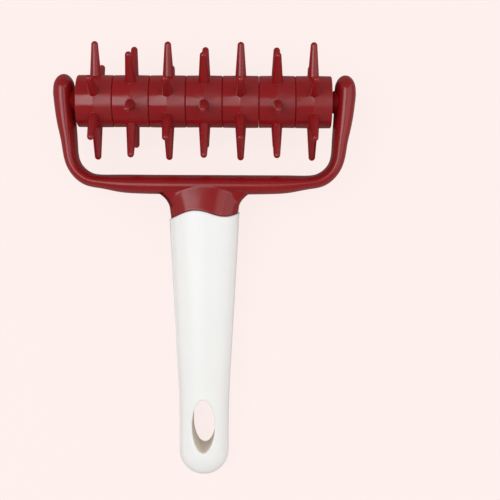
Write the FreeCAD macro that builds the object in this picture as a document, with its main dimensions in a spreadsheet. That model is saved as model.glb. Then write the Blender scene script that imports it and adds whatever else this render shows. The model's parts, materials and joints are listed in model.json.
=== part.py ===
"""Dough docker: a spiked roller turning on an axle in a moulded yoke with a tapered handle.

Millimetres. The tool lies on a table as it is put down: two rows of spikes and the end of the handle
touch the table. +X runs along the roller, +Y points away from the handle, +Z is up, and the origin is
under the middle of the whole tool. Pieces are drawn about the centre of the roller and then laid down.
"""

import FreeCAD
import Part
import math
import os

import Sketcher
from FreeCAD import Placement, Rotation, Vector

# Driving sizes: millimetres, except counts, degrees (angle) and exponents (squareness).
# A reach runs along the tool: of a spike and the handle from the roller's axis, of the bar from the circle
# of the spike tips, of the joint from the bar's inner face, of the taper back from the round end's middle.
SIZES = {
    # Stack of rings
    "ring_count": 7,
    "ring_pitch": 16.2,
    "ring_seam": 0.12,
    "ring_radius": 11.7,
    "ring_draft_angle": 0.8,
    "ring_edge_bevel": 0.3,
    "recess_radius": 8.6,
    "recess_depth": 2.4,
    # Spikes
    "spike_count": 6,
    "spike_reach": 26.6,
    "spike_root_radius": 2.45,
    "spike_tip_radius": 1.5,
    "spike_flare": 0.25,
    # Core, bushes and axle
    "hexagon_flats": 12.0,
    "hexagon_clearance": 0.08,
    "axle_radius": 2.5,
    "axle_seat_depth": 5.0,
    "axle_end_bevel": 0.5,
    "running_clearance": 0.05,
    "seat_clearance": 0.03,
    "bush_radius": 4.2,
    "bush_length": 9.0,
    "flange_clearance": 0.15,
    "thrust_gap": 0.35,
    # Yoke
    "boss_radius": 4.6,
    "boss_root_radius": 7.2,
    "boss_height": 1.3,
    "arm_lean": 1.25,
    "knob_thickness": 9.4,
    "knob_offset": 5.3,
    "knob_length": 6.7,
    "knob_depth": 17.0,
    "corner_radius": 10.1,
    "corner_thickness": 6.2,
    "bar_reach": 6.25,
    "bar_thickness": 8.7,
    "yoke_depth": 16.0,
    "yoke_squareness": 2.05,
    "neck_root_width": 34.0,
    "neck_root_depth": 15.6,
    "gusset_width": 58.0,
    "gusset_depth": 13.6,
    "gusset_squareness": 3.0,
    # Joint between neck and handle
    "joint_reach": 17.05,
    "joint_gap": 0.15,
    "joint_step": 0.6,
    "wave_height": 2.1,
    "wave_length": 30.9,
    "wave_shift": -4.65,
    "wave_slant": 0.096,
    "tang_width": 22.0,
    "tang_depth": 17.0,
    "tang_taper": 0.8,
    "tang_length": 46.0,
    "tang_clearance": 0.1,
    "lug_radius": 1.5,
    "lug_height": 0.8,
    "lug_setback": 12.0,
    # Handle
    "handle_reach": 170.4,
    "handle_top_width": 31.7,
    "handle_top_depth": 23.0,
    "handle_squareness": 2.15,
    "handle_end_radius": 11.25,
    "taper_reach": 22.15,
    "hole_width": 10.4,
    "hole_length": 24.4,
    "hole_setback": 0.85,
    "hole_rim_round": 0.6,
}

SHEET_NAME = "Sizes"
FULL_TURN = 360.0
HEXAGON_SIDES = 6

# Sections of the smooth bodies: how finely an oval is drawn, how the bodies swell and where along
# each stretch the sections stand
HALF_OVAL_STEPS = 12
HALF_OVAL_MIDDLE = 0.5
ELLIPSE = 2.0
BAR_SWELL_POWER = 5
ARM_SWELL_POWER = 1.8
GUSSET_FLARE_POWER = 3
GUSSET_INSET_SHARE = 0.985
BOSS_ROOT_SHARE = 0.35
BAR_SHARES = (0.0, 0.3, 0.6, 0.85)
CORNER_ANGLES = (-90, -67.5, -45, -22.5)
ARM_SHARES = (0.15, 0.4, 0.65, 0.85, 1.0)
NECK_SHARES = (0.0, 0.25, 0.5, 0.75, 1.0)
GUSSET_SHARES = (0.0, 0.15, 0.3, 0.45, 0.6, 0.8)
TAPER_SHARES = (0.2, 0.4, 0.6, 0.8, 0.93)
STRAIGHT_SHARES = (0.35, 0.7, 1.0)
WAVE_POINTS = 21

# Sketch points and axes by their numbers, and directions
START, END, CENTRE = 1, 2, 3
ORIGIN, HORIZONTAL_AXIS, VERTICAL_AXIS = -1, -1, -2
ALONG_X = Vector(1, 0, 0)
ALONG_Y = Vector(0, 1, 0)
ALONG_Z = Vector(0, 0, 1)

doc = FreeCAD.newDocument("dough_docker")


class Size:
    """A number together with its formula on the sheet, so that one expression draws and binds."""

    def __init__(self, value, text):
        self.value = float(value)
        self.text = text

    def __float__(self):
        return self.value

    def __add__(self, other):
        return combined(self, "+", other, self.value + float(other))

    def __radd__(self, other):
        return combined(other, "+", self, float(other) + self.value)

    def __sub__(self, other):
        return combined(self, "-", other, self.value - float(other))

    def __rsub__(self, other):
        return combined(other, "-", self, float(other) - self.value)

    def __mul__(self, other):
        return combined(self, "*", other, self.value * float(other))

    def __rmul__(self, other):
        return combined(other, "*", self, float(other) * self.value)

    def __truediv__(self, other):
        return combined(self, "/", other, self.value / float(other))

    def __neg__(self):
        return 0 - self


def formula(number):
    """Text of a Size or of a plain number."""
    return number.text if isinstance(number, Size) else repr(float(number))


def combined(left, sign, right, value):
    """Size made from two others."""
    return Size(value, f"({formula(left)} {sign} {formula(right)})")


def root(number):
    """Square root of a Size."""
    return Size(math.sqrt(float(number)), f"sqrt({formula(number)})")


def tangent(degrees):
    """Tangent of an angle in degrees."""
    return Size(math.tan(math.radians(float(degrees))), f"tan({formula(degrees)})")


def make_sheet():
    """Spreadsheet of the driving sizes; returns them as Size values by name."""
    sheet = doc.addObject("Spreadsheet::Sheet", SHEET_NAME)
    for row, (name, value) in enumerate(SIZES.items(), start=1):
        sheet.set(f"A{row}", name)
        sheet.set(f"B{row}", str(value))
        sheet.setAlias(f"B{row}", name)
    doc.recompute()
    return {name: Size(sheet.get(name), f"{SHEET_NAME}.{name}") for name in SIZES}


size = make_sheet()


def bind(feature, **properties):
    """Tie properties of a feature to formulas on the sheet."""
    for name, number in properties.items():
        feature.setExpression(name, formula(number))


# Sizes that follow from the driving ones
ring_width = size["ring_pitch"] - size["ring_seam"]
stack_length = size["ring_pitch"] * size["ring_count"] - size["ring_seam"]
lead_angle = FULL_TURN / float(size["spike_count"]) / 4
edge_drop = ring_width / 2 * tangent(size["ring_draft_angle"])
ring_edge_radius = size["ring_radius"] - edge_drop
foot_radius = size["spike_root_radius"] + size["spike_flare"]
foot_reach = root(size["ring_radius"] * size["ring_radius"] - foot_radius * foot_radius)
core_length = stack_length - 2 * size["recess_depth"]
bore_radius = size["axle_radius"] + size["running_clearance"]
boss_face = stack_length / 2 + size["thrust_gap"]
arm_face = boss_face + size["boss_height"]
axle_length = 2 * (arm_face + size["axle_seat_depth"])
bar_face = size["spike_reach"] + size["bar_reach"]
joint_line = bar_face + size["joint_reach"]
socket_start = joint_line - 2 * size["wave_height"]
neck_width = size["handle_top_width"] - 2 * size["joint_step"]
neck_depth = size["handle_top_depth"] - 2 * size["joint_step"]
dome_reach = size["handle_reach"] - size["handle_end_radius"]
taper_end = dome_reach - size["taper_reach"]
hole_reach = dome_reach - size["hole_setback"] - size["hole_length"] / 2


def laid_down():
    """Height of the roller's axis, tilt of the yoke and handle, and shift along Y, as the tool lies."""
    lead = math.radians(lead_angle)
    tip = float(size["spike_tip_radius"])
    height = (float(size["spike_reach"]) - tip) * math.cos(lead) + tip
    end_radius = float(size["handle_end_radius"])
    tilt = math.asin((height - end_radius) / float(dome_reach))
    front = max(
        (float(size["spike_reach"]) - tip) * math.cos(math.radians(angle)) + tip
        for angle in spike_angles_from_y()
    )
    back = float(dome_reach) * math.cos(tilt) + end_radius
    return height, math.degrees(tilt), (back - front) / 2


def spike_angles_from_y():
    """Angles between +Y and the spikes of the rings facing either way."""
    step = FULL_TURN / float(size["spike_count"])
    for index in range(int(float(size["spike_count"]))):
        for lead in (lead_angle, -lead_angle):
            yield lead + index * step - FULL_TURN / 4


axle_height, tilt_angle, forward_shift = laid_down()
roller_centre = Vector(0, forward_shift, axle_height)


def place_fixed(piece):
    """Lay a piece of the yoke and handle down: tilted about the roller's axis."""
    piece.Placement = Placement(roller_centre, Rotation(ALONG_X, tilt_angle))


def place_on_roller(piece, along=0.0, flipped=False, turn=0.0):
    """Put a piece on the roller's axis, turned about it, and then end for end if it is flipped."""
    facing = Rotation(ALONG_Z, FULL_TURN / 2 if flipped else 0)
    place = roller_centre + ALONG_X * float(along)
    piece.Placement = Placement(place, facing * Rotation(ALONG_X, turn))


# Sketch helpers


def new_body(name):
    """Body whose label names the piece."""
    body = doc.addObject("PartDesign::Body", name)
    body.Label = name
    return body


def origin_feature(body, role):
    """Origin plane or axis of a body."""
    return next(item for item in body.Origin.OriginFeatures if item.Role == role)


def new_sketch(body, name, role):
    """Sketch on an origin plane of its body."""
    sketch = body.newObject("Sketcher::SketchObject", name)
    sketch.AttachmentSupport = [(origin_feature(body, role), "")]
    sketch.MapMode = "FlatFace"
    return sketch


def bind_constraint(sketch, number, *constraint):
    """Add a constraint whose value is a formula on the sheet."""
    index = sketch.addConstraint(Sketcher.Constraint(*constraint, float(number)))
    name = f"size_{index}"
    sketch.renameConstraint(index, name)
    sketch.setExpression(f"Constraints.{name}", formula(number))


def pin_point(sketch, edge, end, x, y):
    """Fix one end of an edge at a place given from the sketch's origin."""
    for kind, axis, number in (("DistanceX", VERTICAL_AXIS, x), ("DistanceY", HORIZONTAL_AXIS, y)):
        if float(number) == 0:
            sketch.addConstraint(Sketcher.Constraint("PointOnObject", edge, end, axis))
        else:
            bind_constraint(sketch, number, kind, ORIGIN, START, edge, end)


def draw_outline(sketch, corners):
    """Closed outline of straight edges through corners bound to the sheet."""
    points = [Vector(float(x), float(y), 0) for x, y in corners]
    first = sketch.GeometryCount
    count = len(points)
    for index, point in enumerate(points):
        sketch.addGeometry(Part.LineSegment(point, points[(index + 1) % count]))
    for index, (x, y) in enumerate(corners):
        following = first + (index + 1) % count
        sketch.addConstraint(Sketcher.Constraint("Coincident", first + index, END, following, START))
        pin_point(sketch, first + index, START, x, y)


def draw_circle(sketch, radius):
    """Circle about the sketch's origin."""
    edge = sketch.addGeometry(Part.Circle(Vector(), ALONG_Z, float(radius)))
    sketch.addConstraint(Sketcher.Constraint("Coincident", edge, CENTRE, ORIGIN, START))
    bind_constraint(sketch, radius, "Radius", edge)


def hexagon_corners(flats, turn_angle):
    """Corners of a hexagon across given flats, turned about its centre."""
    step = FULL_TURN / HEXAGON_SIDES
    corner_radius = flats / 2 / math.cos(math.radians(step / 2))
    angles = [math.radians(turn_angle + step * index) for index in range(HEXAGON_SIDES)]
    return [(corner_radius * math.cos(angle), corner_radius * math.sin(angle)) for angle in angles]


def revolve(body, name, sketch, axis):
    """Full revolution of a sketch about one of its axes."""
    solid = body.newObject("PartDesign::Revolution", name)
    solid.Profile = sketch
    solid.ReferenceAxis = (sketch, [axis])
    solid.Angle = FULL_TURN
    return solid


def symmetric_pad(body, name, sketch, length):
    """Pad of a sketch to both sides of its plane."""
    pad = body.newObject("PartDesign::Pad", name)
    pad.Profile = sketch
    pad.SideType = "Symmetric"
    bind(pad, Length=length)
    return pad


# Roller


def draw_ring_section(sketch):
    """Half section of a ring: crowned at its parting line, recessed at both ends."""
    half = ring_width / 2
    floor = half - size["recess_depth"]
    bevel = size["ring_edge_bevel"]
    draw_outline(
        sketch,
        [
            (-floor, 0),
            (floor, 0),
            (floor, size["recess_radius"]),
            (half, size["recess_radius"]),
            (half, ring_edge_radius - bevel),
            (half - bevel, ring_edge_radius),
            (0, size["ring_radius"]),
            (bevel - half, ring_edge_radius),
            (-half, ring_edge_radius - bevel),
            (-half, size["recess_radius"]),
            (-floor, size["recess_radius"]),
        ],
    )


def draw_spike_section(sketch):
    """Half section of a spike: flared foot, tapered shank and domed tip."""
    flare = size["spike_flare"]
    shank_radius = size["spike_root_radius"]
    foot = size["recess_radius"]
    shank = foot_reach + flare
    tip = size["spike_tip_radius"]
    reach = size["spike_reach"]
    dome_start = Vector(float(tip), float(reach - tip), 0)
    foot_corner = Vector(float(foot_radius), float(foot), 0)
    straight = [
        (Vector(0, float(foot), 0), foot_corner),
        (foot_corner, Vector(float(foot_radius), float(foot_reach), 0)),
        (Vector(float(shank_radius), float(shank), 0), dome_start),
        (Vector(0, float(reach), 0), Vector(0, float(foot), 0)),
    ]
    bottom, side, taper, axis = (sketch.addGeometry(Part.LineSegment(*ends)) for ends in straight)
    flare_circle = Part.Circle(Vector(float(foot_radius), float(shank), 0), ALONG_Z, float(flare))
    flare_arc = sketch.addGeometry(Part.ArcOfCircle(flare_circle, math.pi, 1.5 * math.pi))
    dome_circle = Part.Circle(Vector(0, float(reach - tip), 0), ALONG_Z, float(tip))
    dome = sketch.addGeometry(Part.ArcOfCircle(dome_circle, 0, math.pi / 2))
    meetings = [
        (bottom, END, side, START),
        (side, END, flare_arc, END),
        (flare_arc, START, taper, START),
        (dome, END, axis, START),
        (axis, END, bottom, START),
    ]
    for meeting in meetings:
        sketch.addConstraint(Sketcher.Constraint("Coincident", *meeting))
    sketch.addConstraint(Sketcher.Constraint("Tangent", taper, END, dome, START))
    pin_point(sketch, bottom, START, 0, foot)
    pin_point(sketch, bottom, END, foot_radius, foot)
    pin_point(sketch, side, END, foot_radius, foot_reach)
    pin_point(sketch, taper, START, shank_radius, shank)
    pin_point(sketch, axis, START, 0, reach)
    sketch.addConstraint(Sketcher.Constraint("PointOnObject", dome, CENTRE, VERTICAL_AXIS))
    bind_constraint(sketch, flare, "Radius", flare_arc)
    bind_constraint(sketch, tip, "Radius", dome)


def make_ring(index):
    """One spiked ring. All rings are alike, and every second one is turned end for end."""
    name = f"spiked_ring_{index + 1}"
    body = new_body(name)
    section = new_sketch(body, f"{name}_section", "XY_Plane")
    draw_ring_section(section)
    revolve(body, f"{name}_blank", section, "H_Axis")
    hexagon = new_sketch(body, f"{name}_hexagon", "YZ_Plane")
    flats = size["hexagon_flats"] + 2 * size["hexagon_clearance"]
    draw_outline(hexagon, hexagon_corners(flats, lead_angle))
    bore = body.newObject("PartDesign::Pocket", f"{name}_bore")
    bore.Profile = hexagon
    bore.Type = "ThroughAll"
    bore.SideType = "Symmetric"
    profile = new_sketch(body, f"{name}_spike_section", "XZ_Plane")
    draw_spike_section(profile)
    spike = revolve(body, f"{name}_spike", profile, "V_Axis")
    crown = body.newObject("PartDesign::PolarPattern", f"{name}_spikes")
    crown.Originals = [spike]
    crown.Axis = (origin_feature(body, "X_Axis"), [""])
    crown.Angle = FULL_TURN
    bind(crown, Occurrences=size["spike_count"])
    body.Tip = crown
    middle = (size["ring_count"] - 1) / 2
    place_on_roller(body, (index - middle) * size["ring_pitch"], index % 2 == 1, -lead_angle)
    return body


def make_core():
    """Hexagonal tube that keys the rings together."""
    body = new_body("roller_core")
    section = new_sketch(body, "core_section", "YZ_Plane")
    draw_outline(section, hexagon_corners(size["hexagon_flats"], 0))
    draw_circle(section, size["bush_radius"] + size["seat_clearance"])
    symmetric_pad(body, "core_tube", section, core_length)
    place_on_roller(body)
    return body


def make_bush(side, flipped):
    """Flanged bush that closes one end of the stack and runs on the axle."""
    body = new_body(f"end_bush_{side}")
    section = new_sketch(body, f"end_bush_{side}_section", "XY_Plane")
    outer = stack_length / 2
    shoulder = core_length / 2 + size["seat_clearance"]
    inner = shoulder - size["bush_length"]
    flange = size["recess_radius"] - size["flange_clearance"]
    draw_outline(
        section,
        [
            (inner, bore_radius),
            (outer, bore_radius),
            (outer, flange),
            (shoulder, flange),
            (shoulder, size["bush_radius"]),
            (inner, size["bush_radius"]),
        ],
    )
    revolve(body, f"end_bush_{side}_turning", section, "H_Axis")
    place_on_roller(body, flipped=flipped)
    return body


def make_axle():
    """Plain rod seated in the blind bores of both arms."""
    body = new_body("axle")
    section = new_sketch(body, "axle_section", "XY_Plane")
    half = axle_length / 2
    bevel = size["axle_end_bevel"]
    radius = size["axle_radius"]
    draw_outline(
        section,
        [
            (-half, 0),
            (half, 0),
            (half, radius - bevel),
            (half - bevel, radius),
            (bevel - half, radius),
            (-half, radius - bevel),
        ],
    )
    revolve(body, "axle_rod", section, "H_Axis")
    place_on_roller(body)
    return body


# Yoke and handle


def new_shape(name, shape):
    """Feature that holds a shape worked out from the sheet."""
    feature = doc.addObject("Part::Feature", name)
    feature.Shape = shape
    return feature


def half_oval(centre, across, deep, squareness):
    """Curve from one end of an oval's width over the end of its depth to the other end."""
    shares = [step / HALF_OVAL_STEPS for step in range(HALF_OVAL_STEPS + 1)]
    points = []
    for step in range(HALF_OVAL_STEPS + 1):
        turn = step / HALF_OVAL_STEPS * math.pi
        sideways = 0.0 if 2 * step == HALF_OVAL_STEPS else math.cos(turn)
        upward = 0.0 if step in (0, HALF_OVAL_STEPS) else math.sin(turn)
        sideways = math.copysign(abs(sideways) ** (2 / squareness), sideways)
        points.append(centre + across * sideways + deep * upward ** (2 / squareness))
    curve = Part.BSplineCurve()
    curve.interpolate(Points=points, Parameters=shares, InitialTangent=deep, FinalTangent=deep * -1)
    return curve


def oval(centre, across, deep, squareness):
    """Closed oval about a centre with two half axes, in two halves that meet at its width."""
    halves = [half_oval(centre, across, side, squareness) for side in (deep, deep * -1)]
    return Part.Wire([half.toShape() for half in halves])


def oval_across(reach, half_width, half_depth, squareness):
    """Oval square to the handle, at a distance from the roller's axis."""
    return oval(Vector(0, -reach, 0), ALONG_X * half_width, ALONG_Z * half_depth, squareness)


def bow_stations():
    """Inner and outer plan points and depth of the sections of the right half of the bow."""
    radius = float(size["corner_radius"])
    thin = float(size["corner_thickness"])
    depth = float(size["yoke_depth"])
    lean = float(size["arm_lean"])
    arm_foot = float(arm_face) - lean
    corner = Vector(arm_foot - radius, radius - float(bar_face), 0)
    swell = float(size["bar_thickness"]) - thin
    for share in BAR_SHARES:
        inner = Vector(corner.x * share, -float(bar_face), 0)
        yield inner, inner - ALONG_Y * (thin + swell * (1 - share ** BAR_SWELL_POWER)), depth
    for degrees in CORNER_ANGLES:
        turn = math.radians(degrees)
        outward = Vector(math.cos(turn), math.sin(turn), 0)
        yield corner + outward * radius, corner + outward * (radius + thin), depth
    growth = float(size["knob_thickness"]) - thin
    deepening = float(size["knob_depth"]) - depth
    arm_length = float(size["knob_offset"]) - corner.y
    for share in ARM_SHARES:
        y = corner.y + arm_length * share
        grown = 1 - (1 - share) ** ARM_SWELL_POWER
        inner = Vector(arm_foot + lean * min(1.0, (y - corner.y) / -corner.y), y, 0)
        yield inner, inner + ALONG_X * (thin + growth * grown), depth + deepening * grown


def make_bow():
    """Cross bar, corners and arms as one smooth body between the two arm ends."""
    right = list(bow_stations())
    left = [
        (Vector(-inner.x, inner.y, 0), Vector(-outer.x, outer.y, 0), depth)
        for inner, outer, depth in right[:0:-1]
    ]
    squareness = float(size["yoke_squareness"])
    sections = [
        oval((inner + outer) / 2, (outer - inner) / 2, ALONG_Z * (depth / 2), squareness)
        for inner, outer, depth in left + right
    ]
    return new_shape("bow", Part.makeLoft(sections, True, False))


def round_end(centre, half_width, half_depth, squareness, swing):
    """Round end on an oval section: half the section turned half way round its depth."""
    across = ALONG_X * half_width
    deep = ALONG_Z * half_depth
    edges = [Part.makeLine(centre - deep, centre + deep)]
    for side in (deep, deep * -1):
        curve = half_oval(centre, across, side, squareness)
        curve.segment(0, HALF_OVAL_MIDDLE)
        edges.append(curve.toShape())
    half_section = Part.Face(Part.Wire(Part.sortEdges(edges)[0]))
    return half_section.revolve(centre, ALONG_Z, swing)


def make_knob(side):
    """Egg-shaped end of an arm."""
    half_width = float(size["knob_thickness"]) / 2
    half_depth = float(size["knob_depth"]) / 2
    centre = Vector(side * (float(arm_face) + half_width), float(size["knob_offset"]), 0)
    end = round_end(centre, half_width, half_depth, float(size["yoke_squareness"]), FULL_TURN / 2)
    stretch = FreeCAD.Matrix()
    stretch.move(centre * -1)
    stretch.scale(1, float(size["knob_length"]) / half_width, 1)
    stretch.move(centre)
    return new_shape("knob", end.transformGeometry(stretch))


def wave_reach(x):
    """Distance from the roller's axis to the wavy joint line."""
    turn = 2 * math.pi * (x - float(size["wave_shift"])) / float(size["wave_length"])
    swing = float(size["wave_height"]) * math.cos(turn)
    return float(joint_line) - swing - float(size["wave_slant"]) * x


def wave_block(offset, end):
    """Block on one side of the wavy joint, cut square through the depth of the tool."""
    half = float(size["handle_top_width"])
    depth = float(size["handle_top_depth"])
    steps = [half * (2 * step / (WAVE_POINTS - 1) - 1) for step in range(WAVE_POINTS)]
    line = [Vector(x, -(wave_reach(x) + offset), -depth) for x in steps]
    wave = Part.BSplineCurve()
    wave.interpolate(line)
    corners = [line[-1], Vector(half, -end, -depth), Vector(-half, -end, -depth), line[0]]
    sides = [Part.makeLine(*pair) for pair in zip(corners, corners[1:])]
    return Part.Face(Part.Wire([wave.toShape()] + sides)).extrude(ALONG_Z * (2 * depth))


def neck_place(share):
    """Distance from the roller's axis and half width of the neck, from the bar (0) to the joint line (1)."""
    start = float(bar_face + size["bar_thickness"] / 2)
    root_half = float(size["neck_root_width"]) / 2
    reach = start + (float(joint_line) - start) * share
    return reach, root_half + (float(neck_width) / 2 - root_half) * share


def make_neck():
    """Neck that rises out of the bar and ends on the wavy joint line."""
    root_depth = float(size["neck_root_depth"]) / 2
    rise = float(neck_depth) / 2 - root_depth
    squareness = float(size["handle_squareness"])
    start, _ = neck_place(0)
    past = float(joint_line + 2 * size["wave_height"])
    sections = []
    for share in NECK_SHARES + ((past - start) / (float(joint_line) - start),):
        reach, half_width = neck_place(share)
        sections.append(oval_across(reach, half_width, root_depth + rise * min(1.0, share), squareness))
    loft = Part.makeLoft(sections, True, False)
    below = wave_block(0.0, float(size["handle_reach"]))
    return new_shape("neck", loft.cut(below))


def make_gussets():
    """Flared web that fills both corners between the bar and the neck."""
    _, root_half = neck_place(0)
    flare = float(size["gusset_width"]) / 2 - root_half * GUSSET_INSET_SHARE
    half_depth = float(size["gusset_depth"]) / 2
    squareness = float(size["gusset_squareness"])
    sections = []
    for share in GUSSET_SHARES:
        reach, half_width = neck_place(share)
        width = half_width * GUSSET_INSET_SHARE + flare * (1 - share) ** GUSSET_FLARE_POWER
        sections.append(oval_across(reach, width, half_depth, squareness))
    return new_shape("gussets", Part.makeLoft(sections, True, False))


def tang_shape(clearance):
    """Tapered oval plug inside the handle, or its socket when it is given a clearance."""
    start = float(socket_start)
    length = float(size["tang_length"]) + clearance
    shrink = float(tangent(size["tang_taper"])) * length
    half_width = float(size["tang_width"]) / 2 + clearance
    half_depth = float(size["tang_depth"]) / 2 + clearance
    squareness = float(size["handle_squareness"])
    sections = [
        oval_across(start, half_width, half_depth, squareness),
        oval_across(start + length, half_width - shrink, half_depth - shrink, squareness),
    ]
    return Part.makeLoft(sections, True, True)


def lug_shape(side, clearance):
    """Snap lug on one flank of the tang, or its catch when it is given a clearance."""
    down = size["tang_length"] - size["lug_setback"]
    reach = float(socket_start + down)
    radius = float(size["lug_radius"])
    flank = size["tang_width"] / 2 - tangent(size["tang_taper"]) * down
    middle = float(flank + size["lug_height"]) - radius
    height = float(size["tang_depth"]) / 2 + 2 * clearance
    base = Vector(side * middle, -reach, -height / 2)
    return Part.makeCylinder(radius + clearance, height, base, ALONG_Z)


def make_boss(side):
    """Tapered boss on the inner face of an arm, towards the roller."""
    boss = doc.addObject("Part::Cone", "boss")
    height = size["boss_height"] + size["knob_thickness"] * BOSS_ROOT_SHARE
    bind(boss, Radius1=size["boss_radius"], Radius2=size["boss_root_radius"], Height=height)
    turned = Rotation(ALONG_Z, ALONG_X * side)
    boss.Placement = Placement(ALONG_X * (side * float(boss_face)), turned)
    return boss


def make_axle_bore(side):
    """Blind bore that seats one end of the axle."""
    bore = doc.addObject("Part::Cylinder", "axle_bore")
    depth = size["boss_height"] + size["axle_seat_depth"] + size["seat_clearance"]
    bind(bore, Radius=size["axle_radius"] + size["seat_clearance"], Height=depth)
    turned = Rotation(ALONG_Z, ALONG_X * side)
    bore.Placement = Placement(ALONG_X * (side * float(boss_face)), turned)
    return bore


def fused(name, pieces):
    """Union of several features."""
    union = doc.addObject("Part::MultiFuse", name)
    union.Shapes = pieces
    return union


def cut(name, base, tool):
    """One feature less another."""
    difference = doc.addObject("Part::Cut", name)
    difference.Base = base
    difference.Tool = tool
    return difference


def rounded_rims(name, base, radius):
    """Feature with its closed edges rounded: the rims of a hole that goes right through it."""
    fillet = doc.addObject("Part::Fillet", name)
    fillet.Base = base
    rims = [number for number, edge in enumerate(base.Shape.Edges, start=1) if edge.Closed]
    fillet.Edges = [(number, float(radius), float(radius)) for number in rims]
    return fillet


def make_yoke():
    """Red moulding: bow, round arm ends with bosses, neck with gussets, and tang."""
    bow = make_bow()
    neck = make_neck()
    gussets = make_gussets()
    ends = [make(side) for side in (-1, 1) for make in (make_knob, make_boss)]
    tang = new_shape("tang", tang_shape(0.0))
    lugs = [new_shape("lug", lug_shape(side, 0.0)) for side in (-1, 1)]
    moulding = fused("moulding", [bow, neck, gussets] + ends + [tang] + lugs)
    bores = fused("axle_bores", [make_axle_bore(side) for side in (-1, 1)])
    yoke = cut("yoke", moulding, bores)
    doc.recompute()
    place_fixed(yoke)
    return yoke


def handle_sections():
    """Ovals of the grip, from above the joint to the middle of its round end."""
    end_radius = float(size["handle_end_radius"])
    widening = float(size["handle_top_width"]) / 2 - end_radius
    deepening = float(size["handle_top_depth"]) / 2 - end_radius
    joint = float(joint_line)
    taper_length = float(taper_end - joint_line)
    squareness = float(size["handle_squareness"])
    for share in (float(socket_start - joint_line) / taper_length,) + TAPER_SHARES:
        rest = 1 - share
        reach = joint + taper_length * share
        power = ELLIPSE + (squareness - ELLIPSE) * rest
        yield oval_across(reach, end_radius + widening * rest, end_radius + deepening * rest, power)
    for share in STRAIGHT_SHARES:
        reach = float(taper_end + size["taper_reach"] * share)
        yield oval_across(reach, end_radius, end_radius, ELLIPSE)


def hole_shape():
    """Upright elliptical prism of the hang hole."""
    through = ALONG_Z * float(size["handle_top_depth"])
    middle = ALONG_Y * -float(hole_reach) - through
    end = middle + ALONG_Y * (float(size["hole_length"]) / 2)
    side = middle + ALONG_X * (float(size["hole_width"]) / 2)
    rim = Part.Ellipse(end, side, middle)
    return Part.Face(Part.Wire([rim.toShape()])).extrude(through * 2)


def make_handle():
    """White grip: wavy rim, socket for the tang, round end and hang hole."""
    grip = new_shape("grip", Part.makeLoft(list(handle_sections()), True, False))
    end_radius = float(size["handle_end_radius"])
    end_centre = ALONG_Y * -float(dome_reach)
    dome = new_shape("dome", round_end(end_centre, end_radius, end_radius, ELLIPSE, -FULL_TURN / 2))
    clearance = float(size["tang_clearance"])
    tools = [
        new_shape("above_joint", wave_block(float(size["joint_gap"]), 0.0)),
        new_shape("socket", tang_shape(clearance)),
        new_shape("hang_hole", hole_shape()),
    ]
    tools += [new_shape("catch", lug_shape(side, clearance)) for side in (-1, 1)]
    moulding = cut("grip_moulding", fused("grip_and_dome", [grip, dome]), fused("grip_cuts", tools))
    doc.recompute()
    handle = rounded_rims("handle", moulding, size["hole_rim_round"])
    doc.recompute()
    place_fixed(handle)
    return handle


def check_document():
    """Stop if any feature of the document failed."""
    failed = [item.Name for item in doc.Objects if {"Invalid", "Error"} & set(item.State)]
    if failed:
        raise RuntimeError(f"features failed: {failed}")


def check_piece(piece):
    """Stop unless a piece is one sound solid."""
    shape = piece.Shape
    if shape.isNull() or not shape.isValid() or len(shape.Solids) != 1 or shape.Volume <= 0:
        raise RuntimeError(f"{piece.Label} is not one sound solid")


def main():
    """Build every piece, check it and write its file."""
    pieces = [make_ring(index) for index in range(int(float(size["ring_count"])))]
    pieces.append(make_core())
    pieces.append(make_bush("left", flipped=True))
    pieces.append(make_bush("right", flipped=False))
    pieces.append(make_axle())
    pieces.append(make_yoke())
    pieces.append(make_handle())
    doc.recompute()
    check_document()
    for piece in pieces:
        check_piece(piece)
    os.makedirs("parts", exist_ok=True)
    for piece in pieces:
        piece.Shape.exportStep(f"parts/{piece.Label}.step")
        box = piece.Shape.BoundBox
        print(f"{piece.Label}: {piece.Shape.Volume:.1f} mm3, z {box.ZMin:.2f} to {box.ZMax:.2f}")
    print(f"axle height {axle_height:.3f}, tilt {tilt_angle:.3f}, forward shift {forward_shift:.3f}")


main()
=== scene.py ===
"""Looks of the dough docker: finishes, fine moulded detail, studio light and camera.

Metres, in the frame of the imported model: +X along the roller, +Y from the handle towards the roller,
+Z up from the table.
"""

import json
import logging
import math
from collections.abc import Callable, Iterator, Mapping, Sequence
from dataclasses import dataclass
from enum import Enum, auto

import bmesh
import bpy
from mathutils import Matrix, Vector


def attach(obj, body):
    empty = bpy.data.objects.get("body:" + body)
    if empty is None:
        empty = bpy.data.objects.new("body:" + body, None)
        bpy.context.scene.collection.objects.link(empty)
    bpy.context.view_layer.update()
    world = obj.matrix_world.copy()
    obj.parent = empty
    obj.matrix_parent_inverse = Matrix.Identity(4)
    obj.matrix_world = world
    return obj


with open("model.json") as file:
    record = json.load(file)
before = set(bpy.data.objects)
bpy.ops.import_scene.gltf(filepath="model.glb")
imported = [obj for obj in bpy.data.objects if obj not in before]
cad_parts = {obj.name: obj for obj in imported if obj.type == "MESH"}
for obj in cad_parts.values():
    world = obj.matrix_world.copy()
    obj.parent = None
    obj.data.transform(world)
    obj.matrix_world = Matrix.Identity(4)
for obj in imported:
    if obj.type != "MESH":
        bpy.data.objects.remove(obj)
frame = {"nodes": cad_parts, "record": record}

log = logging.getLogger("dough_docker")

Colour = tuple[float, float, float]
Place = tuple[float, float, float]
Span = tuple[float, float]
Materials = Mapping["Finish", bpy.types.Material]

MILLIMETRE = 0.001
MICROMETRE = 0.000001

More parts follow.
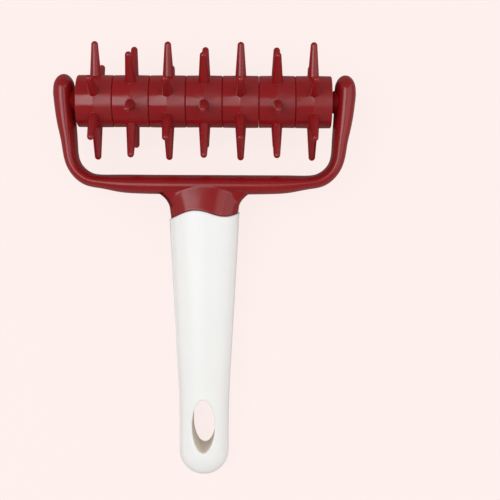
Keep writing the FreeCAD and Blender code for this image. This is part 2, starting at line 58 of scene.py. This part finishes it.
# Places and directions of the tool as it lies, from its record
HANG_HOLE = frame["record"]["mounts"][0]
ROLLER_SPIN = frame["record"]["behaviour"]["joints"][0]
ROLLER_CENTRE = Vector(ROLLER_SPIN["pos_m"])
ALONG_ROLLER = Vector(ROLLER_SPIN["axis"])
TOOL_UP = Vector(HANG_HOLE["axis"])
TOOL_FORWARD = TOOL_UP.cross(ALONG_ROLLER)

RING_PITCH = 16.2 * MILLIMETRE

# Sockets of a Mix node for colours: its other kinds of value have sockets of the same names
MIX_SHARE, MIX_FIRST, MIX_SECOND = 0, 6, 7
MIX_RESULT = 2

# Mean of a noise value
NOISE_MEAN = 0.5

# Corners at both ends of each side of a parting line, which is three-sided
RIDGE_SIDES = ((0, 1), (1, 2), (2, 0))


class Wire:
    """An output socket that takes part in arithmetic: every operator adds a Math node."""

    def __init__(self, graph: "ShaderGraph", socket: bpy.types.NodeSocket | None) -> None:
        """Keep the socket and the graph it belongs to."""
        self.graph = graph
        self.socket = socket

    def _math(self, operation: str, left: "Term", right: "Term") -> "Wire":
        """Add one Math node of an operation on two terms."""
        return self.graph.node("ShaderNodeMath", {"operation": operation}, {0: left, 1: right})

    def __add__(self, other: "Term") -> "Wire":
        """Sum."""
        return self._math("ADD", self, other)

    def __radd__(self, other: "Term") -> "Wire":
        """Sum with a number first."""
        return self._math("ADD", other, self)

    def __sub__(self, other: "Term") -> "Wire":
        """Difference."""
        return self._math("SUBTRACT", self, other)

    def __rsub__(self, other: "Term") -> "Wire":
        """Difference from a number."""
        return self._math("SUBTRACT", other, self)

    def __mul__(self, other: "Term") -> "Wire":
        """Product."""
        return self._math("MULTIPLY", self, other)

    def __rmul__(self, other: "Term") -> "Wire":
        """Product with a number first."""
        return self._math("MULTIPLY", other, self)

    def __truediv__(self, other: "Term") -> "Wire":
        """Quotient."""
        return self._math("DIVIDE", self, other)

    def __rtruediv__(self, other: "Term") -> "Wire":
        """Quotient of a number."""
        return self._math("DIVIDE", other, self)

    def __or__(self, other: "Term") -> "Wire":
        """The larger of two masks."""
        return self._math("MAXIMUM", self, other)

    def __ror__(self, other: "Term") -> "Wire":
        """The larger of a number and a mask."""
        return self._math("MAXIMUM", other, self)


Term = Wire | float | int | Sequence[float]


class ShaderGraph:
    """Node tree of a material or of the world, with one way to add a node."""

    def __init__(self, tree: bpy.types.NodeTree) -> None:
        """Start from an empty tree."""
        tree.nodes.clear()
        self.tree = tree

    @classmethod
    def of_material(cls, name: str) -> tuple[bpy.types.Material, "ShaderGraph"]:
        """Make a material.

        Args:
            name: The material's name.

        Returns:
            The material and its empty graph.
        """
        material = bpy.data.materials.new(name)
        material.use_nodes = True
        return material, cls(material.node_tree)

    def node(
        self,
        kind: str,
        settings: Mapping[str, object] | None = None,
        inputs: Mapping[str | int, Term] | None = None,
        output: str | int = 0,
    ) -> Wire:
        """Add a node.

        Args:
            kind: The node's type.
            settings: Its settings, set before its sockets; stops are those of a colour ramp.
            inputs: Values or links of its input sockets, by name or number.
            output: The output socket to go on from.

        Returns:
            That output.
        """
        made = self.tree.nodes.new(kind)
        for name, value in (settings or {}).items():
            if name == "stops":
                self._set_stops(made.color_ramp, value)
            else:
                setattr(made, name, value)
        for name, value in (inputs or {}).items():
            if isinstance(value, Wire):
                self.tree.links.new(value.socket, made.inputs[name])
            else:
                made.inputs[name].default_value = value
        return Wire(self, made.outputs[output] if made.outputs else None)

    @staticmethod
    def _set_stops(ramp: bpy.types.ColorRamp, stops: Sequence[tuple[float, float]]) -> None:
        """Give a ramp its grey stops.

        Args:
            ramp: The ramp.
            stops: Position and value of each stop.
        """
        while len(ramp.elements) < len(stops):
            ramp.elements.new(1.0)
        for element, (position, value) in zip(ramp.elements, stops):
            element.position = position
            element.color = (value, value, value, 1.0)

    def mixed(self, first: Colour | Wire, second: Colour | Wire, share: Term) -> Wire:
        """Mix two colours.

        Args:
            first: Colour at share 0.
            second: Colour at share 1.
            share: How much of the second.

        Returns:
            The mixed colour.
        """
        sockets = {MIX_SHARE: share}
        for socket, colour in ((MIX_FIRST, first), (MIX_SECOND, second)):
            sockets[socket] = colour if isinstance(colour, Wire) else (*colour, 1.0)
        return self.node("ShaderNodeMix", {"data_type": "RGBA"}, sockets, MIX_RESULT)

    def noise(self, place: Wire, size: float, detail: float = 2.0) -> Wire:
        """Noise value between 0 and 1.

        Args:
            place: Coordinates.
            size: Size of its features, in metres.
            detail: How many finer layers it has.

        Returns:
            The value.
        """
        return self.node(
            "ShaderNodeTexNoise", None, {"Vector": place, "Scale": 1 / size, "Detail": detail}, "Fac"
        )

    def ramp(self, value: Wire, *stops: tuple[float, float]) -> Wire:
        """Send a value through grey stops, each a position and a value."""
        return self.node("ShaderNodeValToRGB", {"stops": stops}, {"Fac": value}, "Color")

    def marks(self, place: Wire, size: float, detail: float, span: Span) -> Wire:
        """Patches of noise.

        Args:
            place: Coordinates.
            size: Size of the patches, in metres.
            detail: How many finer layers they have.
            span: Noise values at which a patch begins and is full.

        Returns:
            Mask between 0 and 1.
        """
        begins, full = span
        return self.ramp(self.noise(place, size, detail), (begins, 0.0), (full, 1.0))

    def along(self, place: Wire, origin: Sequence[float], direction: Sequence[float]) -> Wire:
        """Distance of a place from an origin along a direction.

        Args:
            place: Coordinates.
            origin: Where the distance is 0.
            direction: Unit vector.

        Returns:
            The distance in metres.
        """
        offset = self.node("ShaderNodeVectorMath", {"operation": "SUBTRACT"}, {0: place, 1: origin})
        return self.node(
            "ShaderNodeVectorMath", {"operation": "DOT_PRODUCT"}, {0: offset, 1: direction}, "Value"
        )


@dataclass(frozen=True)
class MouldedPlastic:
    """Injection-moulded plastic: flow marks in the colour, orange peel, fine grain and rubbed patches.

    Edges look rounded over the edge radius, where there is one.
    """

    name: str
    colour: Colour
    flow_colour: Colour
    roughness: float
    rubbed: float
    flow_size: float = 22.0 * MILLIMETRE
    flow_detail: float = 3.0
    flow_span: Span = (0.35, 0.7)
    patches_per_flow: float = 3.0
    patch_detail: float = 5.0
    patch_span: Span = (0.48, 0.66)
    peel_size: float = 3.4 * MILLIMETRE
    peel_height: float = 12.0 * MICROMETRE
    grain_size: float = 0.35 * MILLIMETRE
    grain_detail: float = 3.0
    grain_height: float = 4.0 * MICROMETRE
    gloss: float = 0.5
    refraction: float = 1.5
    edge_radius: float = 0.0
    edge_samples: int = 8
    scatter: float = 0.0
    scatter_radius: Colour = (1.0, 1.0, 1.0)
    scatter_depth: float = 0.5 * MILLIMETRE

    def material(self) -> bpy.types.Material:
        """Make the material.

        Returns:
            The material.
        """
        material, graph = ShaderGraph.of_material(self.name)
        place = graph.node("ShaderNodeTexCoord", output="Object")
        grain = graph.noise(place, self.grain_size, self.grain_detail)
        height = graph.noise(place, self.peel_size) * self.peel_height + grain * self.grain_height
        bump = {"Height": height, "Distance": 1.0}
        if self.edge_radius > 0:
            bump["Normal"] = graph.node(
                "ShaderNodeBevel", {"samples": self.edge_samples}, {"Radius": self.edge_radius}
            )
        shader = graph.node(
            "ShaderNodeBsdfPrincipled",
            {"subsurface_method": "RANDOM_WALK"},
            {
                "Base Color": self._colour(graph, place),
                "Roughness": self._roughness(graph, place) + (grain - NOISE_MEAN) * (self.rubbed / 2),
                "IOR": self.refraction,
                "Specular IOR Level": self.gloss,
                "Normal": graph.node("ShaderNodeBump", None, bump),
                "Subsurface Weight": self.scatter,
                "Subsurface Radius": self.scatter_radius,
                "Subsurface Scale": self.scatter_depth,
            },
        )
        graph.node("ShaderNodeOutputMaterial", None, {"Surface": shader})
        return material

    def _colour(self, graph: ShaderGraph, place: Wire) -> Wire:
        """Colour with its flow marks.

        Args:
            graph: Graph of the material.
            place: Coordinates.

        Returns:
            The colour.
        """
        flow = graph.marks(place, self.flow_size, self.flow_detail, self.flow_span)
        return graph.mixed(self.colour, self.flow_colour, flow)

    def _roughness(self, graph: ShaderGraph, place: Wire) -> Wire:
        """Roughness with its rubbed patches.

        Args:
            graph: Graph of the material.
            place: Coordinates.

        Returns:
            The roughness.
        """
        patch_size = self.flow_size / self.patches_per_flow
        patches = graph.marks(place, patch_size, self.patch_detail, self.patch_span)
        return self.roughness + patches * self.rubbed


@dataclass(frozen=True)
class RingPlastic(MouldedPlastic):
    """Plastic of the rings: the mould half on the right of each ring left a duller skin."""

    ring_middle: float = 0.5
    dulling: float = 0.14

    def _roughness(self, graph: ShaderGraph, place: Wire) -> Wire:
        """Roughness with its rubbed patches and the duller half of each ring.

        Args:
            graph: Graph of the material.
            place: Coordinates.

        Returns:
            The roughness.
        """
        across = graph.along(place, ROLLER_CENTRE, ALONG_ROLLER) / RING_PITCH + self.ring_middle
        within = graph.node("ShaderNodeMath", {"operation": "FRACT"}, {0: across})
        dull = graph.node("ShaderNodeMath", {"operation": "GREATER_THAN"}, {0: within, 1: self.ring_middle})
        return super()._roughness(graph, place) + dull * self.dulling


@dataclass(frozen=True)
class GripPlastic(MouldedPlastic):
    """Plastic of the handle, with painted warm bounce light that lightens the shaded wall of the hang hole.

    The shares are squares of the distance from the hole's middle, in half sizes of the hole. The painted
    bounce light on the wall begins to fade at the rim and is gone on the skin.
    """

    # Painted warm bounce light: a lighter, warmer colour that stands in for light bouncing into the hole's
    # shaded wall
    hole_bounce_light_colour: Colour = (0.99, 0.945, 0.86)
    hole_half_width: float = 5.2 * MILLIMETRE
    hole_half_length: float = 12.2 * MILLIMETRE
    rim_share: float = 1.0
    skin_share: float = 1.25

    def _colour(self, graph: ShaderGraph, place: Wire) -> Wire:
        """Colour with its flow marks and the painted warm bounce light on the wall of the hole.

        Args:
            graph: Graph of the material.
            place: Coordinates.

        Returns:
            The colour.
        """
        across = graph.along(place, HANG_HOLE["pos_m"], ALONG_ROLLER) / self.hole_half_width
        down = graph.along(place, HANG_HOLE["pos_m"], TOOL_FORWARD) / self.hole_half_length
        outside = (across * across + down * down - self.rim_share) / (self.skin_share - self.rim_share)
        # Share of the painted bounce light: full on the hole's wall, none on the skin
        bounce_light_share = graph.ramp(outside, (0.0, 1.0), (1.0, 0.0))
        return graph.mixed(super()._colour(graph, place), self.hole_bounce_light_colour, bounce_light_share)


@dataclass(frozen=True)
class DrawnSteel:
    """Drawn steel rod: bright, with fine lines along its length."""

    name: str
    colour: Colour
    shade: float = 0.7
    roughness: float = 0.22
    line_roughness: float = 0.2
    line_size: float = 0.4 * MILLIMETRE
    stretch: float = 0.02

    def material(self) -> bpy.types.Material:
        """Make the material.

        Returns:
            The material.
        """
        material, graph = ShaderGraph.of_material(self.name)
        place = graph.node("ShaderNodeTexCoord", output="Object")
        drawn = graph.node("ShaderNodeMapping", None, {"Vector": place, "Scale": (self.stretch, 1.0, 1.0)})
        lines = graph.noise(drawn, self.line_size)
        dark = tuple(self.shade * value for value in self.colour)
        shader = graph.node(
            "ShaderNodeBsdfPrincipled",
            None,
            {
                "Base Color": graph.mixed(dark, self.colour, lines),
                "Metallic": 1.0,
                "Roughness": self.roughness + lines * self.line_roughness,
            },
        )
        graph.node("ShaderNodeOutputMaterial", None, {"Surface": shader})
        return material


class Finish(Enum):
    """The finishes of the tool."""

    YOKE_RED = auto()
    RING_RED = auto()
    GRIP_WHITE = auto()
    INNER_GREY = auto()
    STEEL = auto()


RED: Colour = (0.29, 0.0064, 0.0093)
RED_FLOW: Colour = (0.262, 0.0058, 0.0083)
RED_GLOSS = 0.75

FINISHES: dict[Finish, MouldedPlastic | DrawnSteel] = {
    Finish.YOKE_RED: MouldedPlastic(
        "red_moulded_plastic",
        RED,
        RED_FLOW,
        roughness=0.2,
        rubbed=0.05,
        gloss=RED_GLOSS,
        edge_radius=1.2 * MILLIMETRE,
    ),
    Finish.RING_RED: RingPlastic(
        "red_ring_plastic", RED, RED_FLOW, roughness=0.17, rubbed=0.05, gloss=RED_GLOSS
    ),
    Finish.GRIP_WHITE: GripPlastic(
        "white_moulded_plastic",
        colour=(0.92, 0.93, 0.915),
        flow_colour=(0.905, 0.91, 0.895),
        roughness=0.33,
        rubbed=0.05,
        edge_radius=1.5 * MILLIMETRE,
        scatter=0.15,
        scatter_radius=(1.0, 0.9, 0.75),
        scatter_depth=1.2 * MILLIMETRE,
    ),
    Finish.INNER_GREY: MouldedPlastic(
        "inner_moulded_plastic", (0.5, 0.5, 0.48), (0.46, 0.46, 0.44), roughness=0.45, rubbed=0.05
    ),
    Finish.STEEL: DrawnSteel("drawn_steel", colour=(0.62, 0.62, 0.63)),
}


@dataclass(frozen=True)
class PartingLine:
    """Fine ridge that the halves of a mould leave round a piece, along its cut by a plane.

    The share tells how much of the ridge's height stands at a point; where it is 0 there is no ridge.
    """

    node: str
    point: Vector
    normal: Vector
    share: Callable[[Vector], float]
    height: float = 0.04 * MILLIMETRE
    half_width: float = 0.12 * MILLIMETRE
    sunk: float = 0.06 * MILLIMETRE
    step: float = 0.4 * MILLIMETRE
    off_middle: float = 0.03 * MILLIMETRE
    weld: float = 1.0 * MICROMETRE

    def build(self) -> bpy.types.Object:
        """Make the ridge.

        Returns:
            Its object.
        """
        shape = bmesh.new()
        for run in self._runs(self._even(self._outline())):
            self._add_ridge(shape, run)
        bmesh.ops.recalc_face_normals(shape, faces=shape.faces)
        name = f"{self.node}_parting_line"
        mesh = bpy.data.meshes.new(name)
        shape.to_mesh(mesh)
        shape.free()
        ridge = bpy.data.objects.new(name, mesh)
        bpy.context.scene.collection.objects.link(ridge)
        return ridge

    def _outline(self) -> list[Vector]:
        """Cut the node by the plane, which is moved a little because some nodes have vertices on it.

        Returns:
            Points of the longest loop of the cut, in order.
        """
        shape = bmesh.new()
        shape.from_mesh(frame["nodes"][self.node].data)
        bmesh.ops.remove_doubles(shape, verts=shape.verts, dist=self.weld)
        bmesh.ops.bisect_plane(
            shape,
            geom=[*shape.verts, *shape.edges, *shape.faces],
            plane_co=self.point + self.normal * self.off_middle,
            plane_no=self.normal,
            clear_inner=True,
            clear_outer=True,
        )
        outline = max(self._loops(shape), key=len)
        shape.free()
        return outline

    @staticmethod
    def _loops(shape: bmesh.types.BMesh) -> Iterator[list[Vector]]:
        """Follow the edges of a cut from end to end.

        Args:
            shape: Mesh that has only the edges of the cut.

        Yields:
            Points of each loop.
        """
        unused = dict.fromkeys(shape.edges)
        while unused:
            first, here = unused.popitem()[0].verts
            loop = [first.co.copy()]
            while here is not first:
                loop.append(here.co.copy())
                onward = next((edge for edge in here.link_edges if edge in unused), None)
                if onward is None:
                    break
                del unused[onward]
                here = onward.other_vert(here)
            yield loop

    def _even(self, loop: Sequence[Vector]) -> list[Vector]:
        """Space the points of a closed loop evenly.

        Args:
            loop: Its points.

        Returns:
            Points one step apart.
        """
        points = []
        carried = 0.0
        for here, following in zip(loop, [*loop[1:], loop[0]]):
            length = (following - here).length
            while carried < length:
                points.append(here.lerp(following, carried / length))
                carried += self.step
            carried -= length
        return points

    def _runs(self, loop: Sequence[Vector]) -> Iterator[list[tuple[Vector, Vector, float]]]:
        """Split a closed loop where its ridge has no height.

        Args:
            loop: Evenly spaced points.

        Yields:
            Runs of points, each with the direction out of the piece and the share of the height.
        """
        count = len(loop)
        stretches = zip(loop, [*loop[1:], loop[0]])
        area = sum((here.cross(following).dot(self.normal) for here, following in stretches), 0.0)
        side = self.normal if area > 0 else -self.normal
        shares = [self.share(point) for point in loop]
        start = min(range(count), key=shares.__getitem__)
        run = []
        for index in (*range(start, count), *range(start + 1)):
            if shares[index] > 0:
                tangent = loop[(index + 1) % count] - loop[index - 1]
                run.append((loop[index], tangent.cross(side).normalized(), shares[index]))
                continue
            if len(run) > 1:
                yield run
            run = []
        if len(run) > 1:
            yield run

    def _add_ridge(self, shape: bmesh.types.BMesh, run: Sequence[tuple[Vector, Vector, float]]) -> None:
        """Add one run of the ridge, three-sided and closed at both ends.

        Args:
            shape: Mesh that grows.
            run: Its points, outward directions and shares of the height.
        """
        across = self.normal * self.half_width
        sections = []
        for point, outward, share in run:
            foot = point - outward * self.sunk
            crest = point + outward * (self.height * share)
            sections.append([shape.verts.new(place) for place in (foot - across, crest, foot + across)])
        for here, following in zip(sections, sections[1:]):
            for corner, after in RIDGE_SIDES:
                shape.faces.new((here[corner], here[after], following[after], following[corner]))
        shape.faces.new(sections[0])
        shape.faces.new(reversed(sections[-1]))


@dataclass(frozen=True)
class SubAssembly:
    """Nodes of one body that are finished together, and the fine pieces on them."""

    def build(self, materials: Materials) -> None:
        """Dress the nodes and add the fine pieces.

        Args:
            materials: Material of each finish.
        """
        raise NotImplementedError

    @staticmethod
    def dress(name: str, material: bpy.types.Material) -> None:
        """Give a node its material.

        Args:
            name: Name of the node.
            material: The material.
        """
        mesh = frame["nodes"][name].data
        mesh.materials.clear()
        mesh.materials.append(material)
        log.info("dressed %s in %s", name, material.name)

    @staticmethod
    def attach(piece: bpy.types.Object, body: str, slot: str, material: bpy.types.Material) -> None:
        """Let a fine piece ride on a body.

        Args:
            piece: The piece.
            body: Name of the body.
            slot: Material slot of the record that it belongs to; not used.
            material: Its material.
        """
        piece.data.materials.append(material)
        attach(piece, body)
        log.info("added %s", piece.name)


@dataclass(frozen=True)
class Roller(SubAssembly):
    """Stack of spiked rings on its core and bushes."""

    ring_count: int = 7
    spike_reach: float = 26.6 * MILLIMETRE
    dome_height: float = 1.5 * MILLIMETRE

    def build(self, materials: Materials) -> None:
        """Dress the rings, the core and the bushes, and add the parting line of each ring.

        Args:
            materials: Material of each finish.
        """
        red = materials[Finish.RING_RED]
        for index in range(self.ring_count):
            name = f"spiked_ring_{index + 1}"
            self.dress(name, red)
            self.attach(self._parting_line(name, index).build(), "roller", "red_plastic", red)
        for side in ("left", "right"):
            self.dress(f"end_bush_{side}", materials[Finish.YOKE_RED])
        self.dress("roller_core", materials[Finish.INNER_GREY])

    def _parting_line(self, name: str, index: int) -> PartingLine:
        """Parting line round the middle of one ring and up its spikes."""
        along = (index - (self.ring_count - 1) / 2) * RING_PITCH
        return PartingLine(name, ROLLER_CENTRE + ALONG_ROLLER * along, ALONG_ROLLER, self._share)

    def _share(self, point: Vector) -> float:
        """Share of the ridge's height, which runs out on the domed tips of the spikes.

        Args:
            point: Point of the ridge.

        Returns:
            The share.
        """
        reach = (point - ROLLER_CENTRE).cross(ALONG_ROLLER).length
        before_tip = (self.spike_reach - self.dome_height / 2 - reach) / self.dome_height
        return min(1.0, max(0.0, before_tip))


@dataclass(frozen=True)
class Yoke(SubAssembly):
    """Red moulding that carries the roller."""

    half_width: float = 67.77 * MILLIMETRE
    arm_face: float = 58.3 * MILLIMETRE
    boss_radius: float = 6.4 * MILLIMETRE
    neck_reach: float = 47.0 * MILLIMETRE
    run_out: float = 2.0 * MILLIMETRE
    margin: float = 0.3 * MILLIMETRE

    def build(self, materials: Materials) -> None:
        """Dress the yoke and add its parting line.

        Args:
            materials: Material of each finish.
        """
        red = materials[Finish.YOKE_RED]
        self.dress("yoke", red)
        ridge = PartingLine("yoke", ROLLER_CENTRE, TOOL_UP, self._share).build()
        self.attach(ridge, "frame", "red_plastic", red)

    def _share(self, point: Vector) -> float:
        """Share of the ridge's height: none on the bosses, in the joint and at the widest place.

        Args:
            point: Point of the ridge.

        Returns:
            The share.
        """
        reach = -(point - ROLLER_CENTRE).dot(TOOL_FORWARD)
        if abs(reach) < self.boss_radius + self.margin and abs(point.x) < self.arm_face + self.margin:
            return 0.0
        before_joint = (self.neck_reach - reach) / self.run_out
        before_side = (self.half_width - abs(point.x)) / self.margin - 1
        return min(1.0, max(0.0, min(before_joint, before_side)))


@dataclass(frozen=True)
class Handle(SubAssembly):
    """White grip."""

    socket_reach: float = 94.0 * MILLIMETRE
    socket_half_width: float = 12.0 * MILLIMETRE
    top_reach: float = 53.0 * MILLIMETRE
    end_reach: float = 170.4 * MILLIMETRE
    run_out: float = 2.0 * MILLIMETRE
    margin: float = 1.0 * MILLIMETRE
    ridge_height: float = 0.03 * MILLIMETRE

    def build(self, materials: Materials) -> None:
        """Dress the handle and add its parting line.

        Args:
            materials: Material of each finish.
        """
        white = materials[Finish.GRIP_WHITE]
        self.dress("handle", white)
        line = PartingLine("handle", ROLLER_CENTRE, TOOL_UP, self._share, height=self.ridge_height)
        self.attach(line.build(), "frame", "white_plastic", white)

    def _share(self, point: Vector) -> float:
        """Share of the ridge's height: none in the socket, at the wavy rim and at the very end.

        Args:
            point: Point of the ridge.

        Returns:
            The share.
        """
        reach = -(point - ROLLER_CENTRE).dot(TOOL_FORWARD)
        if reach < self.socket_reach and abs(point.x) < self.socket_half_width:
            return 0.0
        below_rim = (reach - self.top_reach) / self.run_out
        before_end = (self.end_reach - self.margin - reach) / self.run_out
        return min(1.0, max(0.0, min(below_rim, before_end)))


@dataclass(frozen=True)
class Axle(SubAssembly):
    """Steel rod of the roller."""

    def build(self, materials: Materials) -> None:
        """Dress the axle."""
        self.dress("axle", materials[Finish.STEEL])


@dataclass(frozen=True)
class Softbox:
    """A rectangular studio light that shines down, or leans about the Y axis."""

    name: str
    place: Place
    width: float
    length: float
    radiance: float
    lean: float = 0.0

    def build(self) -> bpy.types.Object:
        """Make the light.

        Returns:
            The light's object.
        """
        lamp = bpy.data.lights.new(self.name, "AREA")
        lamp.shape = "RECTANGLE"
        lamp.size = self.width
        lamp.size_y = self.length
        lamp.energy = self.radiance * math.pi * self.width * self.length
        light = bpy.data.objects.new(self.name, lamp)
        light.location = self.place
        light.rotation_euler = (0.0, math.radians(self.lean), 0.0)
        bpy.context.scene.collection.objects.link(light)
        return light


@dataclass(frozen=True)
class BankSpan:
    """Part of the bank of light: where its left, right and far edges are, and its share of the radiance."""

    left: float
    right: float
    far: float
    share: float


@dataclass(frozen=True)
class Studio:
    """Pale floor, soft lights, the world and the camera above the tool."""

    pale: Colour = (1.0, 0.879, 0.855)
    mirrored: Colour = (0.13, 0.112, 0.106)
    floor_half: float = 3.0
    own_light: float = 0.9
    fill: Colour = (0.57, 0.565, 0.56)
    camera_place: Place = (0.0207, 0.00554, 0.5165)
    camera_roll: float = 0.3
    focal_length: float = 78.7
    sensor_width: float = 36.0
    nearest_seen: float = 0.01
    bank_near: float = -0.38
    bank_height: float = 1.05
    bank_radiance: float = 2.25
    bank_spans: tuple[BankSpan, ...] = (
        BankSpan(left=-1.05, right=-0.2, far=0.4, share=1.0),
        BankSpan(left=-0.2, right=-0.14, far=0.36, share=0.88),
        BankSpan(left=-0.14, right=-0.08, far=0.34, share=0.68),
        BankSpan(left=-0.08, right=-0.02, far=0.32, share=0.46),
        BankSpan(left=-0.02, right=0.1, far=0.3, share=0.34),
        BankSpan(left=0.36, right=1.05, far=0.4, share=0.4),
    )
    wall_distance: float = 1.3
    wall_rise: float = 1.2
    wall_length: float = 1.6
    wall_lean: float = 90.0
    left_radiance: float = 0.15
    right_radiance: float = 0.6

    def build(self) -> None:
        """Make the floor, the lights, the world and the camera."""
        self._build_floor()
        for softbox in self._softboxes():
            softbox.build()
        self._build_world()
        self._build_camera()

    def _softboxes(self) -> Iterator[Softbox]:
        """Lights of the studio: the bank overhead and a soft wall on either side.

        The bank fades to the right and has one weaker span beyond a gap.

        Yields:
            The lights of the bank from left to right, then the walls.
        """
        near = self.bank_near
        for index, span in enumerate(self.bank_spans, start=1):
            place = ((span.left + span.right) / 2, (near + span.far) / 2, self.bank_height)
            width = span.right - span.left
            yield Softbox(f"bank_{index}", place, width, span.far - near, self.bank_radiance * span.share)
        for name, side, radiance in (("left", -1, self.left_radiance), ("right", 1, self.right_radiance)):
            place = (side * self.wall_distance, 0.0, self.wall_rise / 2)
            lean = side * self.wall_lean
            yield Softbox(f"{name}_wall", place, self.wall_rise, self.wall_length, radiance, lean)

    def _build_floor(self) -> None:
        """Make the pale floor, which keeps the tool's soft shadow."""
        half = self.floor_half
        mesh = bpy.data.meshes.new("floor")
        corners = [(-half, -half, 0), (half, -half, 0), (half, half, 0), (-half, half, 0)]
        mesh.from_pydata(corners, [], [(0, 1, 2, 3)])
        floor = bpy.data.objects.new("floor", mesh)
        bpy.context.scene.collection.objects.link(floor)
        material, graph = ShaderGraph.of_material("pale_floor")
        seen, glossy, through = (
            graph.node("ShaderNodeLightPath", output=f"Is {kind} Ray")
            for kind in ("Camera", "Glossy", "Transmission")
        )
        lit = graph.node("ShaderNodeBsdfDiffuse", None, {"Color": (*self.pale, 1.0)})
        own = graph.node("ShaderNodeEmission", None, {"Color": graph.mixed(self.mirrored, self.pale, seen)})
        share = (seen | glossy | through) * self.own_light
        shader = graph.node("ShaderNodeMixShader", None, {0: share, 1: lit, 2: own})
        graph.node("ShaderNodeOutputMaterial", None, {"Surface": shader})
        mesh.materials.append(material)

    def _build_world(self) -> None:
        """Make the world: an even fill, the pale backdrop where it is seen, and less in reflections."""
        world = bpy.data.worlds.new("studio")
        world.use_nodes = True
        graph = ShaderGraph(world.node_tree)
        seen, glossy = (
            graph.node("ShaderNodeLightPath", output=f"Is {kind} Ray") for kind in ("Camera", "Glossy")
        )
        colour = graph.mixed(graph.mixed(self.fill, self.mirrored, glossy), self.pale, seen)
        light = graph.node("ShaderNodeBackground", None, {"Color": colour})
        graph.node("ShaderNodeOutputWorld", None, {"Surface": light})
        bpy.context.scene.world = world

    def _build_camera(self) -> None:
        """Make the camera, which looks straight down."""
        data = bpy.data.cameras.new("camera")
        data.lens = self.focal_length
        data.sensor_width = self.sensor_width
        data.clip_start = self.nearest_seen
        camera = bpy.data.objects.new("camera", data)
        camera.location = self.camera_place
        camera.rotation_euler = (0.0, 0.0, math.radians(self.camera_roll))
        bpy.context.scene.collection.objects.link(camera)
        bpy.context.scene.camera = camera


def main() -> None:
    """Build the studio and finish every sub-assembly."""
    logging.basicConfig(level=logging.INFO)
    bpy.context.scene.view_settings.view_transform = "Standard"
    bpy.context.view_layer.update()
    Studio().build()
    materials = {finish: FINISHES[finish].material() for finish in Finish}
    for assembly in (Roller(), Yoke(), Handle(), Axle()):
        assembly.build(materials)


if __name__ == "__main__":
    main()
